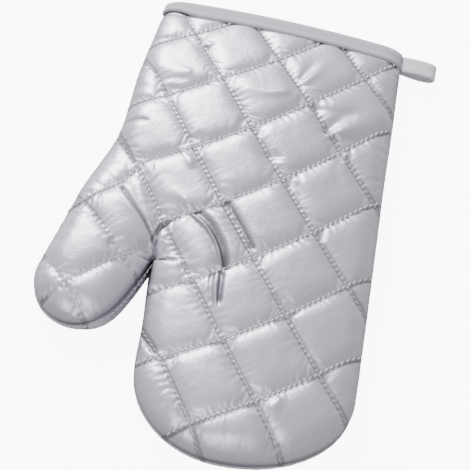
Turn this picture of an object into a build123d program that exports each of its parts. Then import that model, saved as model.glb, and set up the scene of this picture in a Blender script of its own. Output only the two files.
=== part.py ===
from build123d import *
import math
import os

# Quilted oven mitt lying flat on its back panel. Sizes in millimetres.
# +Y runs from the fingertips to the cuff, +Z is up out of the front panel,
# and the thumb lies on the -X side.

# Laminate: outer shell cloth, wadding, cotton lining
shell_thick = 0.8
batting_thick = 4.2
lining_thick = 0.6

# Hand part: where it starts and ends, and its two long edges
cuff_y = 133.8
cuff_left = -71.0
cuff_right = 71.5
wrist_y = 78.0
wrist_left = -75.5
wrist_right = 73.0
heel_y = 40.0
heel_left = -75.0
heel_right = 73.5
knuckle_y = -38.0
knuckle_left = -38.0
knuckle_right = 76.0
finger_y = -92.0
finger_left = -35.5
finger_right = 77.5
fingertip_x = 14.0
fingertip_run = 44.0

# Heights of the crown above the table, and of the seam between the panels; the
# rolled edge reaches the shoulder's share of the crown, and the fullness says
# how long a rounded tip keeps its height
seam_height = 8.0
cuff_crown = 19.0
wrist_crown = 29.0
heel_crown = 30.0
knuckle_crown = 29.0
finger_crown = 26.0
edge_run = 12.0
shoulder = 0.73
tip_fullness = 0.65

# Thumb: its root point, its lean from the fingers and its stations along it
thumb_root_x = -63.3
thumb_root_y = -24.3
thumb_lean = 20.5
thumb_start = -60.0
thumb_start_out = -33.0
thumb_start_in = 10.0
thumb_start_crown = 17.0
thumb_base = -10.0
thumb_base_out = -29.0
thumb_base_in = 26.5
thumb_base_crown = 25.0
thumb_waist = 20.0
thumb_waist_out = -23.5
thumb_waist_in = 28.5
thumb_waist_crown = 25.0
thumb_pad = 34.0
thumb_pad_out = -21.5
thumb_pad_in = 28.0
thumb_pad_crown = 24.0
thumb_tip_across = 4.0
thumb_tip_run = 25.0

# Shares of the way down a rounded tip at which its cross-section is drawn
tip_steps = (0.42, 0.7, 0.88, 0.97)

# Fold lines where the cloth bends over a closing hand
fold_gap = 0.4
finger_fold_y = -47.0
thumb_fold = 5.0

# Binding tape round the mouth and the hanging loop of the same tape
tape_thick = 0.9
binding_width = 10.0
binding_step = 0.5
loop_clear = 0.3
loop_tape = 1.4
loop_width = 10.0
loop_y = 128.0
loop_reach = 23.4
loop_eye = 6.0
loop_nose = 2.2

# Quilting: square lattice of stitch lines, turned against the hand's axis
quilt_pitch = 35.7
quilt_turn = 38.0
quilt_x = -26.9
quilt_y = 79.4
channel_width = 3.0
channel_depth = 2.2
slant_lines = (-3, 7)
cross_lines = (-4, 3)

big = 600.0
total_thick = shell_thick + batting_thick + lining_thick
lean = math.radians(thumb_lean)
thumb_along = Vector(-math.sin(lean), -math.cos(lean), 0)
thumb_across = Vector(math.cos(lean), -math.sin(lean), 0)
thumb_root = Vector(thumb_root_x, thumb_root_y, 0)


def between(y, near, far, at_near, at_far):
    return at_near + (at_far - at_near) * (y - near) / (far - near)


def cuff_station(y, bound):
    """Station on the straight run from the cuff to the wrist."""
    low = between(y, cuff_y, wrist_y, cuff_left, wrist_left)
    high = between(y, cuff_y, wrist_y, cuff_right, wrist_right)
    crown = between(y, cuff_y, wrist_y, cuff_crown, wrist_crown)
    return (y, low, high, crown, bound)


# Each station: place along the part, low edge, high edge, crown, and whether
# the binding tape presses the cloth there
binding_y = cuff_y - binding_width
hand_stations = (
    cuff_station(cuff_y, True),
    cuff_station(binding_y, True),
    cuff_station(binding_y - binding_step, False),
    (wrist_y, wrist_left, wrist_right, wrist_crown, False),
    (heel_y, heel_left, heel_right, heel_crown, False),
    (knuckle_y, knuckle_left, knuckle_right, knuckle_crown, False),
    (finger_y, finger_left, finger_right, finger_crown, False),
)
thumb_stations = (
    (thumb_start, thumb_start_out, thumb_start_in, thumb_start_crown, False),
    (thumb_base, thumb_base_out, thumb_base_in, thumb_base_crown, False),
    (thumb_waist, thumb_waist_out, thumb_waist_in, thumb_waist_crown, False),
    (thumb_pad, thumb_pad_out, thumb_pad_in, thumb_pad_crown, False),
)


def pressed(inset):
    """Inset of the same layer where the tape squeezes the laminate."""
    return tape_thick + inset * (total_thick - 2 * tape_thick) / total_thick


def section(spot, left, right, top, inset):
    """One cross-section: flat underside, rolled edges, full shoulders and a gentle crown."""
    run = min(edge_run, 0.3 * (right - left))
    hip = seam_height + shoulder * (top - seam_height)
    slack = 1 - math.sqrt(0.5)
    bend = run * slack
    high = hip - (hip - seam_height) * slack
    low = inset + (seam_height - inset) * slack
    with BuildSketch(spot) as drawn:
        with BuildLine():
            ThreePointArc((left + run, hip), ((left + right) / 2, top), (right - run, hip))
            Polyline(
                (right - run, hip),
                (right - bend, high),
                (right, seam_height),
                (right - bend, low),
                (right - run, inset),
                (left + run, inset),
                (left + bend, low),
                (left, seam_height),
                (left + bend, high),
                (left + run, hip),
            )
        make_face()
    return drawn.sketch


def rounded_form(stations, spot_at, middle, run, inset):
    """Loft through the stations and on round an elliptical tip, drawn in by the inset."""
    faces = []
    for place, low, high, crown, bound in stations:
        k = pressed(inset) if bound else inset
        faces.append(section(spot_at(place), low + k, high - k, crown - k, k))
    place, low, high, crown, bound = stations[-1]
    step = 1 if stations[0][0] < place else -1
    for share in tip_steps:
        full = math.sqrt(1 - share * share)
        left = middle - full * (middle - low - inset)
        right = middle + full * (high - middle - inset)
        top = seam_height + full**tip_fullness * (crown - inset - seam_height)
        spot = spot_at(place + step * share * (run - inset))
        faces.append(section(spot, left, right, top, inset))
    with BuildPart() as form:
        loft(faces, ruled=True)
    return form.part


def hand_spot(place):
    return Plane(origin=(0, place, 0), x_dir=(1, 0, 0), z_dir=(0, -1, 0))


def thumb_spot(place):
    return Plane(origin=thumb_root + thumb_along * place, x_dir=thumb_across, z_dir=thumb_along)


def hand_form(inset):
    return rounded_form(hand_stations, hand_spot, fingertip_x, fingertip_run, inset)


def thumb_form(inset):
    return rounded_form(thumb_stations, thumb_spot, thumb_tip_across, thumb_tip_run, inset)


def quilt_grid(width):
    """Upright walls standing on every stitch line of the quilting."""
    turn = math.radians(quilt_turn)
    with BuildPart() as grid:
        with BuildSketch():
            for n in range(slant_lines[0], slant_lines[1] + 1):
                x = quilt_x + n * quilt_pitch * math.sin(turn)
                y = quilt_y - n * quilt_pitch * math.cos(turn)
                with Locations(Location((x, y, 0), (0, 0, quilt_turn))):
                    Rectangle(big, width)
            for n in range(cross_lines[0], cross_lines[1] + 1):
                x = quilt_x + n * quilt_pitch * math.cos(turn)
                y = quilt_y + n * quilt_pitch * math.sin(turn)
                with Locations(Location((x, y, 0), (0, 0, quilt_turn - 90))):
                    Rectangle(big, width)
        extrude(amount=60)
    return grid.part


def beyond(spot, way):
    """Block filling the space on one side of a plane."""
    with BuildPart() as block:
        with BuildSketch(spot):
            Rectangle(big, big)
        extrude(amount=way * big)
    return block.part


def cut(shape, *blocks):
    """What is left of a shape inside all the blocks."""
    with BuildPart() as kept:
        add(shape)
        for block in blocks:
            add(block, mode=Mode.INTERSECT)
    return kept.part


def joined(*shapes):
    with BuildPart() as whole:
        for shape in shapes:
            add(shape)
    return whole.part


def less(shape, *others):
    with BuildPart() as rest:
        add(shape)
        for other in others:
            add(other, mode=Mode.SUBTRACT)
    return rest.part


def main_piece(shape):
    """The cloth itself, without crumbs left where a channel meets the rim."""
    return shape.solids().sort_by(SortBy.VOLUME)[-1]


# The two panels part at the seam, and the zones part at the fold lines
half_gap = fold_gap / 2
panels = {
    "front": beyond(Plane.XY.offset(seam_height), 1),
    "back": beyond(Plane.XY.offset(seam_height), -1),
}
hand_side = beyond(hand_spot(finger_fold_y + half_gap), -1)
finger_side = beyond(hand_spot(finger_fold_y - half_gap), 1)
root_side = beyond(thumb_spot(thumb_fold - half_gap), -1)
thumb_side = beyond(thumb_spot(thumb_fold + half_gap), 1)

insets = {
    "outside": 0.0,
    "outside_stitched": channel_depth,
    "under_shell": shell_thick,
    "under_shell_stitched": shell_thick + channel_depth,
    "under_batting": shell_thick + batting_thick,
    "inside": total_thick,
}
zones = {"palm": {}, "fingers": {}, "thumb": {}}
for level, inset in insets.items():
    hand = hand_form(inset)
    thumb = thumb_form(inset)
    zones["palm"][level] = joined(cut(hand, hand_side), cut(thumb, root_side))
    zones["fingers"][level] = cut(hand, finger_side)
    zones["thumb"][level] = cut(thumb, thumb_side)

stitch_walls = quilt_grid(channel_width)
stitch_walls_under = quilt_grid(channel_width + 2 * shell_thick)
os.makedirs("parts", exist_ok=True)

for panel, side in panels.items():
    for zone, forms in zones.items():
        form = {level: cut(shape, side) for level, shape in forms.items()}
        puffed = joined(less(form["outside"], stitch_walls), form["outside_stitched"])
        filled = joined(less(form["under_shell"], stitch_walls_under), form["under_shell_stitched"])

        with BuildPart() as shell:
            add(main_piece(less(puffed, filled)))
        shell.part.label = f"{panel}_shell_{zone}"
        export_step(shell.part, f"parts/{panel}_shell_{zone}.step")

        with BuildPart() as batting:
            add(main_piece(less(filled, form["under_batting"])))
        batting.part.label = f"{panel}_batting_{zone}"
        export_step(batting.part, f"parts/{panel}_batting_{zone}.step")

        with BuildPart() as lining:
            add(form["under_batting"])
            add(form["inside"], mode=Mode.SUBTRACT)
        lining.part.label = f"{panel}_lining_{zone}"
        export_step(lining.part, f"parts/{panel}_lining_{zone}.step")


def cuff_block(inset, top_y):
    """Plain block of the cuff end, from the binding's edge up to a height."""
    faces = []
    for y in (binding_y, top_y):
        place, low, high, crown, bound = cuff_station(y, False)
        faces.append(section(hand_spot(y), low + inset, high - inset, crown - inset, inset))
    with BuildPart() as block:
        loft(faces, ruled=True)
    return block.part


# Binding tape: folded over the raw edge of the laminate, all round the mouth
edge_y = cuff_y + tape_thick
squeezed = less(cuff_block(pressed(0), cuff_y), cuff_block(pressed(total_thick), cuff_y))
with BuildPart() as cuff_binding:
    add(cuff_block(0, edge_y))
    add(cuff_block(total_thick, edge_y), mode=Mode.SUBTRACT)
    add(squeezed, mode=Mode.SUBTRACT)
cuff_binding.part.label = "cuff_binding"
export_step(cuff_binding.part, "parts/cuff_binding.step")

# Hanging loop: the same tape folded back on itself round an open eye
edge_x = cuff_station(loop_y, False)[2]
root_x = edge_x + loop_clear + loop_tape
tip_x = root_x + loop_reach
mid_x = root_x + loop_reach / 2
crest = loop_eye / 2 + loop_tape
loop_plane = Plane(origin=(0, loop_y + loop_width / 2, seam_height), x_dir=(1, 0, 0), z_dir=(0, -1, 0))
with BuildPart() as hang_loop:
    with BuildSketch(loop_plane):
        with BuildLine():
            ThreePointArc((root_x, loop_tape), (mid_x, crest), (tip_x - loop_nose, loop_nose))
            TangentArc((tip_x - loop_nose, loop_nose), (tip_x, 0), tangent=(1, -0.4))
            TangentArc((tip_x - loop_nose, -loop_nose), (tip_x, 0), tangent=(1, 0.4))
            ThreePointArc((root_x, -loop_tape), (mid_x, -crest), (tip_x - loop_nose, -loop_nose))
            TangentArc((root_x, loop_tape), (root_x - loop_tape, 0), tangent=(-1, 0))
            TangentArc((root_x, -loop_tape), (root_x - loop_tape, 0), tangent=(-1, 0))
        make_face()
        with BuildLine():
            ThreePointArc((root_x + loop_tape, 0), (mid_x, loop_eye / 2), (tip_x - loop_tape, 0))
            ThreePointArc((root_x + loop_tape, 0), (mid_x, -loop_eye / 2), (tip_x - loop_tape, 0))
        make_face(mode=Mode.SUBTRACT)
    extrude(amount=loop_width)
hang_loop.part.label = "hang_loop"
export_step(hang_loop.part, "parts/hang_loop.step")
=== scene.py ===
import math

import bpy
import numpy as np
from mathutils import Matrix, Vector
from mathutils.bvhtree import BVHTree
from mathutils.geometry import delaunay_2d_cdt


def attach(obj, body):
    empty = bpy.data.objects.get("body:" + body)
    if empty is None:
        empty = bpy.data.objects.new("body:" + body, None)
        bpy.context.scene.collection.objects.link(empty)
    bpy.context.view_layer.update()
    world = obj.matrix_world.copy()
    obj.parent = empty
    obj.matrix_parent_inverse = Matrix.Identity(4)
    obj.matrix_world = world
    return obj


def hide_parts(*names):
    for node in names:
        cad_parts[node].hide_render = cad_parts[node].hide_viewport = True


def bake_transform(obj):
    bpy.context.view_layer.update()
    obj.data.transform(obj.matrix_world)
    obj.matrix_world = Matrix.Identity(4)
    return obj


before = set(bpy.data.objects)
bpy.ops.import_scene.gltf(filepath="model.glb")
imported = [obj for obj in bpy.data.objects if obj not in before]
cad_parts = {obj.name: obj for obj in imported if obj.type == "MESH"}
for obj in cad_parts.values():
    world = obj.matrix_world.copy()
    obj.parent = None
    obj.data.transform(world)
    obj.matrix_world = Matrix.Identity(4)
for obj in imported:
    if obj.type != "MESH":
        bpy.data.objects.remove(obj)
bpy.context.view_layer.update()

# A quilted oven mitt that lies on its back panel. Sizes are in millimetres, in the frame of the CAD part:
# +Y runs from the fingertips to the cuff, +Z is up, and the thumb lies on the -X side.
MM = 0.001

# Cutting pattern of the mitt, seen from above
CUFF_Y = 133.8
FINGER_Y = -92.0
FINGERTIP_X = 14.0
FINGERTIP_RUN = 44.0
FINGER_LEFT = ((-35.5, FINGER_Y), (-37.2, -60.0))
CROTCH = (-38.7, -37.0)
LEFT_SIDE = ((-75.0, 38.0), (-75.5, 78.0), (-71.0, CUFF_Y))
THUMB_ROOT = np.array((-63.3, -24.3))
THUMB_LEAN = math.radians(20.5)
THUMB_PAD = 34.0
THUMB_TIP_ACROSS = 4.0
THUMB_TIP_RUN = 25.0
THUMB_SPLIT = 4.0
THUMB_IN = 30.0
THUMB_ALONG = np.array((-math.sin(THUMB_LEAN), -math.cos(THUMB_LEAN)))
THUMB_ACROSS = np.array((math.cos(THUMB_LEAN), -math.sin(THUMB_LEAN)))
CROTCH_ROOM = 6.0
CROTCH_SLACK = 1.5
TIP_POINTS = 60

# Stations of hand and thumb, for outline and crown: place, low edge, high edge, rise above the seam
HAND_STATIONS = (
    (FINGER_Y, -35.5, 77.5, 18.0),
    (-38.0, -38.0, 76.0, 21.0),
    (40.0, -75.0, 73.5, 22.0),
    (78.0, -75.5, 73.0, 21.0),
    (CUFF_Y, -71.0, 71.5, 11.0),
)
THUMB_STATIONS = (
    (-85.0, -30.0, 0.0, 0.0),
    (-60.0, -33.0, 10.0, 9.0),
    (-10.0, -29.0, 26.5, 17.0),
    (20.0, -23.5, 28.5, 17.0),
    (THUMB_PAD, -21.5, 28.0, 16.0),
)

# Rounding of the crown: the share that stays full out to its edges, how it fades beyond them, the share
# left at a tip, and how softly hand and thumb join
SHOULDER = 0.62
CROWN_FADE = 10.0
TIP_RISE = 0.45
LOBE_BLEND = 2.5

# Seam between the panels, and how the cloth rolls over it
SEAM_Z = 8.0
SEAM_RAISE = 4.5
SEAM_TUCK = 1.0
SEAM_STEP = 0.5
SEAM_EASE = 160
ON_SEAM = 0.3
BULGE = 1.7
BULGE_DEPTH = 2.6
FRONT_THUMB_BULGE = 0.8
BACK_THUMB_BULGE = 2.6
FRONT_ROLL = 12.0
BACK_ROLL = 11.0
BACK_Z = 2.4

# Inner edge of the thumb, across and along it: where it starts, is full, falls off and ends
INNER_ACROSS = (6.0, 20.0, 32.0, 48.0)
INNER_ALONG = (-6.0, 8.0, 42.0, 62.0)

# Thickness of the padded panels, the lining under them, and how the back flattens on the table
PANEL_THICK = 2.6
PANEL_RIM = 4.0
CREASE_INSIDE = 0.5
LINING_UNDER = 3.0
LINING_THICK = 0.5
BACK_PUFF = 1.2
TABLE_GAP = 0.12
TABLE_SOFT = 0.25

# Quilting: a square lattice, bowed over the crown and sheared on the thumb
QUILT_PITCH = 35.5
QUILT_TURN = math.radians(38.2)
QUILT_ORIGIN = np.array((-26.8, 74.8))
LINE_U = np.array((math.sin(QUILT_TURN), -math.cos(QUILT_TURN)))
LINE_V = np.array((math.cos(QUILT_TURN), math.sin(QUILT_TURN)))
LINE_BOW = 13.0
BOW_MIDDLE = 9.7
BOW_LEAN = 0.25
BOW_HALF = 75.0
CUFF_RUN = 48.0
TIP_RUN = 65.0
THUMB_SHEAR = 0.19
SHEAR_FROM = 17.0
SHEAR_EASE = (25.0, 0.0)
THUMB_RAISE = 4.2
FOLD_LINE_Y = (-140.0, -70.0, -37.0, 8.0, 40.0)
FOLD_LINE_X = (-72.0, -52.0, -43.5, -63.0, -77.0)
FOLD_BLEND = 24.0
LATTICE_ROUNDS = 40
LATTICE_REACH = 8

# Puffs: how far lines sink and cells rise, how full cells are, and the settings of the cloth solver
SINK = 2.0
CELL_RISE = 2.7
CELL_FULLNESS = 2.0
CLOTH_SCALE = 20.0
CLOTH_FRAMES = 24

# Stitches: how many, their shape and thickness, how they lie, and where they show
STITCHES_PER_PITCH = 12
STITCH = QUILT_PITCH / STITCHES_PER_PITCH
ROD_SIDES = 6
ROD_MIDDLE = 0.1
ROD_STRETCH = 0.9
STITCH_END = 0.08
STITCH_CREST = 0.3
STITCH_FLAT = 0.6
STITCH_LIFT = 0.1
STITCH_CLEAR = 0.5
THREAD = (1.3, 0.55)
THUMB_THREAD = 0.55
SEAM_THREAD = 1.5
SEAM_THREAD_OUT = 1.3
SEAM_THREAD_FROM = 0.2
SLANT = math.radians(16)
STRAIGHT = 0.8
LONGEST_GAP = 4.5
SHORTEST_ROW = 6
HIDDEN_THUMB = 0.3
HIDDEN_SEAM = 9.0

# Points of the panels: parts of a pitch, rows that follow the seam and the creases, and least gaps
GRID = 32
BACK_COARSE = 2
LINING_COARSE = 4
LINE_GAP = 0.45
CELL_GAP = 0.62
ON_LINE = 0.02
ROW_STEP = 1.0
ROW_GAP = 0.42
RIM_ROWS = (0.45, 1.0, 1.8, 2.8, 4.0)
CREASE_ROWS = (0.5, 0.9, 1.25, 1.9)
BATCH = 4000

# Folds pressed into the cloth: how far each reaches to the left and to the right of its line, how
# square its bottom is, its rise (a valley is negative), the shade painted along it and the line it follows
FOLDS = (
    # Over the palm: a thin ridge, a square valley to its right and a slope down to it from the left
    (0.7, 0.7, 2.0, 1.7, 0.0,
     ((-2.1, -40.8), (-5.9, -32.9), (-9.6, -25.8), (-13.0, -21.9), (-16.4, -18.0), (-26.0, -11.5))),
    (2.0, 2.8, 4.0, -1.9, 0.9,
     ((-0.7, -41.5), (-3.7, -32.5), (-6.9, -26.4), (-10.1, -21.7), (-13.7, -17.2), (-24.5, -9.0))),
    (3.8, 0.5, 1.5, -1.2, 0.4,
     ((-3.5, -41.0), (-6.9, -33.2), (-10.5, -26.1), (-13.8, -22.3), (-17.0, -18.7), (-26.3, -12.5))),
    # The same below the next line of stitches
    (0.7, 0.7, 2.0, 1.5, 0.0, ((-1.4, -62.3), (-3.1, -56.1), (-4.1, -50.3), (-4.8, -40.0))),
    (1.2, 1.7, 4.0, -1.7, 0.85, ((-0.1, -61.6), (-0.9, -56.2), (-1.6, -50.7), (-2.5, -40.0))),
    (1.7, 1.4, 4.0, -0.8, 0.35, ((-3.2, -61.8), (-4.8, -56.1), (-6.2, -50.5), (-7.2, -40.5))),
    # From the crotch up to the thumb's root
    (0.8, 0.55, 1.5, -3.0, 0.7,
     ((-40.0, -38.5), (-37.9, -33.9), (-38.6, -30.7), (-42.2, -26.6), (-48.1, -20.3),
      (-55.9, -12.4), (-65.5, -1.8))),
    (2.4, 0.9, 2.0, 0.9, 0.0,
     ((-42.0, -31.5), (-44.5, -27.6), (-49.8, -21.6), (-57.5, -13.8), (-64.5, -6.5))),
    (0.8, 0.8, 1.5, -2.6, 0.8,
     ((-38.3, -33.0), (-39.7, -27.1), (-39.8, -23.8), (-37.5, -20.2), (-33.0, -17.0))),
    # Out from the crotch
    (0.8, 0.8, 1.5, -1.6, 0.6, ((-48.0, -40.0), (-42.8, -38.6), (-37.0, -36.0))),
    (0.8, 0.8, 1.5, -1.8, 0.7, ((-41.0, -36.2), (-32.3, -39.0), (-24.0, -38.9))),
    # Beside a line of stitches on the palm, and across the left edges
    (2.4, 0.8, 1.3, -2.0, 0.8, ((12.5, -27.0), (5.0, -17.0), (0.0, -10.5), (-9.0, 0.5))),
    (1.2, 1.2, 1.3, -2.0, 0.6, ((-37.0, -73.0), (-30.5, -84.0), (-24.0, -92.0))),
    (1.5, 1.5, 1.3, -1.2, 0.3, ((-79.0, 36.0), (-69.0, 40.0), (-58.0, 40.0))),
)

# Wrinkles that start at a line of stitches and spread out into the cell: half width at the start, rise
# and line
WRINKLES = (
    (1.4, 1.6, ((-25.0, -11.0), (-30.0, -5.0), (-38.0, -1.0), (-46.0, 0.5))),
    (1.2, -1.8, ((-25.0, -12.0), (-32.0, -8.0), (-39.0, -4.0))),
    (1.6, 1.4, ((-19.0, -38.0), (-27.0, -41.5), (-37.0, -41.0))),
    (1.4, -1.8, ((14.5, 86.0), (18.5, 95.0), (22.0, 104.0), (25.0, 114.0))),
    (1.6, 1.5, ((17.0, 84.0), (23.0, 95.0), (28.0, 110.0))),
    (1.4, -2.2, ((33.0, 54.0), (39.0, 64.0), (44.0, 70.5), (56.0, 79.0))),
    (1.6, 2.2, ((35.0, 52.5), (45.0, 60.0), (52.0, 66.0), (62.0, 77.0))),
    (1.3, -1.6, ((23.0, 70.5), (36.0, 70.0), (50.0, 72.0))),
    (2.2, 0.9, ((-43.0, 77.0), (-51.0, 75.0), (-60.0, 78.0), (-73.0, 80.0))),
    (1.8, -0.8, ((-44.0, 73.0), (-53.0, 71.0), (-70.0, 75.0))),
    (1.8, 1.5, ((12.0, 76.0), (0.0, 72.0), (-16.0, 71.0), (-28.0, 73.0))),
    (1.5, 1.6, ((49.5, 49.0), (46.0, 38.0), (43.0, 22.0))),
    (1.5, -1.6, ((47.0, 45.0), (44.5, 32.0), (49.0, 18.0))),
    (1.6, 1.8, ((54.0, -85.0), (48.0, -81.0), (40.0, -82.0))),
    (1.6, -1.6, ((-50.0, 61.0), (-62.0, 62.0), (-74.0, 69.0))),
    (1.6, 1.6, ((-36.0, 100.0), (-47.0, 103.0), (-62.0, 112.0))),
    (1.6, -1.4, ((16.0, 33.0), (5.0, 31.0), (-8.0, 35.0))),
    (1.6, 1.6, ((-30.0, 14.0), (-36.0, 24.0), (-46.0, 31.0))),
    (1.5, 1.4, ((-60.0, -38.0), (-66.0, -34.0), (-74.0, -34.0))),
    (1.5, 1.6, ((40.0, -100.0), (36.0, -108.0), (36.0, -118.0))),
    (1.5, -1.4, ((24.0, 20.0), (30.0, 12.0), (40.0, 8.0))),
    (1.6, 1.4, ((30.0, -50.0), (22.0, -46.0), (14.0, -36.0))),
)
CREASE_STEP = 0.8
CREASE_EASE = 12
CREASE_NEAR = 8.0
CREASE_END = 4.0
CREASE_NARROW = 0.4
CREASE_DEEP = 3.4
CREASE_RIM = 3.0
WRINKLE_SPREAD = 2.5

# Shades painted on the cloth: strength, and the distances where they start and are full
RIM_SHADES = ((0.5, 6.0, 0.0), (0.8, 2.6, 0.4))
INNER_THUMB_SHADE = (0.95, 5.0, 0.0)
CROTCH_SHADE = (0.9, 6.0, 1.0)
BACK_CROTCH_SHADE = (1.0, 16.0, 4.0)
# Painted shade at the ends of the quilting lines under the binding: across a line, and below the binding's
# edge
NICK_SHADE_ACROSS = (1.0, 3.0, 1.6)
NICK_SHADE_BELOW = (1.0, 4.0, 2.2)
UNSHADED = 0.05

# Where the shade painted in the quilting grooves is fainter: on the thumb, and where the fold beside
# the crotch pulls the lines apart
THUMB_FAINT = (0.6, 0.0, 15.0)
DRAWN_OUT_AT = (-45.0, -31.0)
DRAWN_OUT = (1.0, 13.0, 8.0)

# Binding tape, folded narrower at the left corner of the cuff
TAPE = 10.0
TAPE_THICK = 0.8
TAPE_ROUND = 71
TAPE_LOWEST = 0.1
CUFF_POINTS = 200
CUFF_EASE = 3.0
CORNER = (0.4, -48.0, -70.0)

# Hanging loop: the route of the tape, the shares of its width and how its edges round off
LOOP_Y = 128.0
LOOP_WIDTH = 10.0
LOOP_THICK = 1.0
LOOP_ROUTE = (
    (71.9, 8.9), (77.0, 9.2), (83.0, 9.2), (88.0, 8.7), (91.4, 7.8), (92.8, 6.6),
    (91.2, 5.4), (87.0, 4.7), (82.0, 4.9), (77.0, 5.8), (71.9, 7.1),
)
LOOP_FINE = 0.5
LOOP_EASE = 40
LOOP_STEP = 1.2
LOOP_SHARES = np.array((-0.5, -0.46, -0.38, -0.2, 0.0, 0.2, 0.38, 0.46, 0.5))
LOOP_SWELL = np.array((-0.25, 0.15, 0.2, 0.1, 0.05, 0.1, 0.2, 0.15, -0.25))


def smooth(value):
    """Ease a share from 0 to 1."""
    value = np.clip(value, 0.0, 1.0)
    return value * value * (3 - 2 * value)


def ramp(value, start, end):
    """0 at the start, 1 at the end, which may be the lower one, and eased between them."""
    return smooth((value - start) / (end - start))


def graded(value, strength, start, full):
    """A strength that comes in from its start to where it is full."""
    return strength * ramp(value, start, full)


def thumb_point(along, across):
    return THUMB_ROOT + THUMB_ALONG * along + THUMB_ACROSS * across


def thumb_place(plan):
    """Distance along the thumb and across it, for points of the plan."""
    offset = plan - THUMB_ROOT
    return offset @ THUMB_ALONG, offset @ THUMB_ACROSS


def drawn_cloth(spots):
    """How far the cloth is drawn from the straight quilting: bowed on the crown, sheared on the thumb."""
    share = (spots[:, 0] - BOW_MIDDLE + BOW_LEAN * spots[:, 1]) / BOW_HALF
    stretch = (spots[:, 1] / np.where(spots[:, 1] > 0, CUFF_RUN, TIP_RUN)) ** 2
    bow = np.column_stack((np.zeros(len(spots)), LINE_BOW * share * share + stretch))
    shear = np.maximum(SHEAR_FROM - spots[:, 1], 0.0) * THUMB_SHEAR
    slide = np.column_stack((shear, np.full(len(spots), THUMB_RAISE)))
    beside = np.interp(spots[:, 1], FOLD_LINE_Y, FOLD_LINE_X) - spots[:, 0]
    thumb = smooth(0.5 + beside / FOLD_BLEND) * ramp(spots[:, 1], *SHEAR_EASE)
    return bow * (1 - thumb[:, None]) + slide * thumb[:, None]


def lattice_place(plan):
    """Place of plan points in the quilting lattice, in pitches."""
    spots = plan.copy()
    for _ in range(LATTICE_ROUNDS):
        spots = plan - drawn_cloth(spots)
    offset = (spots - QUILT_ORIGIN) / QUILT_PITCH
    return np.stack((offset @ LINE_U, offset @ LINE_V), axis=-1)


def resampled(points, step):
    """A run with even steps close to the given one."""
    points = np.asarray(points, float)
    lengths = np.concatenate(([0.0], np.cumsum(np.linalg.norm(np.diff(points, axis=0), axis=1))))
    count = max(2, int(round(lengths[-1] / step)) + 1)
    at = np.linspace(0, lengths[-1], count)
    return np.stack([np.interp(at, lengths, points[:, axis]) for axis in (0, 1)], axis=1)


def eased(points, rounds):
    """Round the corners of a run whose ends stay where they are."""
    points = points.copy()
    for _ in range(rounds):
        points[1:-1] = (points[:-2] + 2 * points[1:-1] + points[2:]) / 4
    return points


def directions(points):
    along = np.gradient(points, axis=0)
    return along / np.linalg.norm(along, axis=1)[:, None]


def drawn_aside(points, amount):
    """Move a run to its right by an amount, which is inwards for a clockwise one."""
    along = directions(points)
    return points + np.stack((along[:, 1], -along[:, 0]), axis=1) * amount


def rounded_tip(station, middle, run):
    """Half round about a lobe's tip, from its high edge to its low one: places across and beyond it."""
    _, low, high, _ = station
    turn = np.linspace(0, math.pi, TIP_POINTS)[1:-1]
    reach = np.where(turn < math.pi / 2, high - middle, middle - low)
    return zip(middle + reach * np.cos(turn), run * np.sin(turn))


def seam_runs():
    """The mitt's seam as three fine runs: hand, thumb, and the side up to the cuff."""
    right = [(high, y) for y, _, high, _ in reversed(HAND_STATIONS)]
    fingertip = rounded_tip(HAND_STATIONS[0], FINGERTIP_X, FINGERTIP_RUN)
    tip = [(across, FINGER_Y - beyond) for across, beyond in fingertip]
    hand = np.vstack((right, tip, FINGER_LEFT, CROTCH))
    base, waist, pad = THUMB_STATIONS[2:]
    inner = [thumb_point(THUMB_SPLIT + CROTCH_ROOM, pad[2])]
    inner += [thumb_point(along, high) for along, _, high, _ in (waist, pad)]
    thumb_end = rounded_tip(pad, THUMB_TIP_ACROSS, THUMB_TIP_RUN)
    thumb_tip = [thumb_point(THUMB_PAD + beyond, across) for across, beyond in thumb_end]
    outer = [thumb_point(along, low) for along, low, _, _ in (pad, waist, base)]
    thumb = np.vstack((CROTCH, inner, thumb_tip, outer, LEFT_SIDE))
    hand, thumb = (
        drawn_aside(eased(resampled(run, SEAM_STEP), SEAM_EASE), SEAM_TUCK) for run in (hand, thumb)
    )
    meet = (hand[-1] + thumb[0]) / 2
    hand[-1] = meet
    thumb[0] = meet
    hand[0, 1] = CUFF_Y
    thumb[-1, 1] = CUFF_Y
    along, across = thumb_place(thumb)
    leaves = (along[:-1] > THUMB_SPLIT) & (along[1:] <= THUMB_SPLIT) & (across[1:] < 0)
    split = np.where(leaves)[0][0] + 1
    return hand, thumb[: split + 1], thumb[split:]


HAND_RUN, THUMB_RUN, SIDE_RUN = seam_runs()
SEAM = np.vstack((HAND_RUN, THUMB_RUN[1:], SIDE_RUN[1:]))


def near_seam(plan):
    """Distance of plan points from the seam, and the way out there."""
    along = directions(SEAM)
    outward = np.stack((-along[:, 1], along[:, 0]), axis=1)
    distance = np.empty(len(plan))
    way = np.empty((len(plan), 2))
    for start in range(0, len(plan), BATCH):
        part = plan[start : start + BATCH]
        gaps = np.linalg.norm(part[:, None, :] - SEAM[None, :, :], axis=2)
        nearest = gaps.argmin(axis=1)
        slip = np.sum((part - SEAM[nearest]) * along[nearest], axis=1)
        slip = np.where(np.abs(slip) < SEAM_STEP, slip, 0.0)
        distance[start : start + BATCH] = np.sqrt(np.maximum(gaps.min(axis=1) ** 2 - slip * slip, 0.0))
        way[start : start + BATCH] = outward[nearest]
    return distance, way


def inside(plan, loop):
    """Which plan points lie inside a closed loop."""
    result = np.zeros(len(plan), bool)
    after = np.roll(loop, -1, axis=0)
    for (x0, y0), (x1, y1) in zip(loop, after):
        if y0 == y1:
            continue
        crosses = (plan[:, 1] > y0) != (plan[:, 1] > y1)
        at = x0 + (plan[:, 1] - y0) * (x1 - x0) / (y1 - y0)
        result ^= crosses & (plan[:, 0] < at)
    return result


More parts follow.
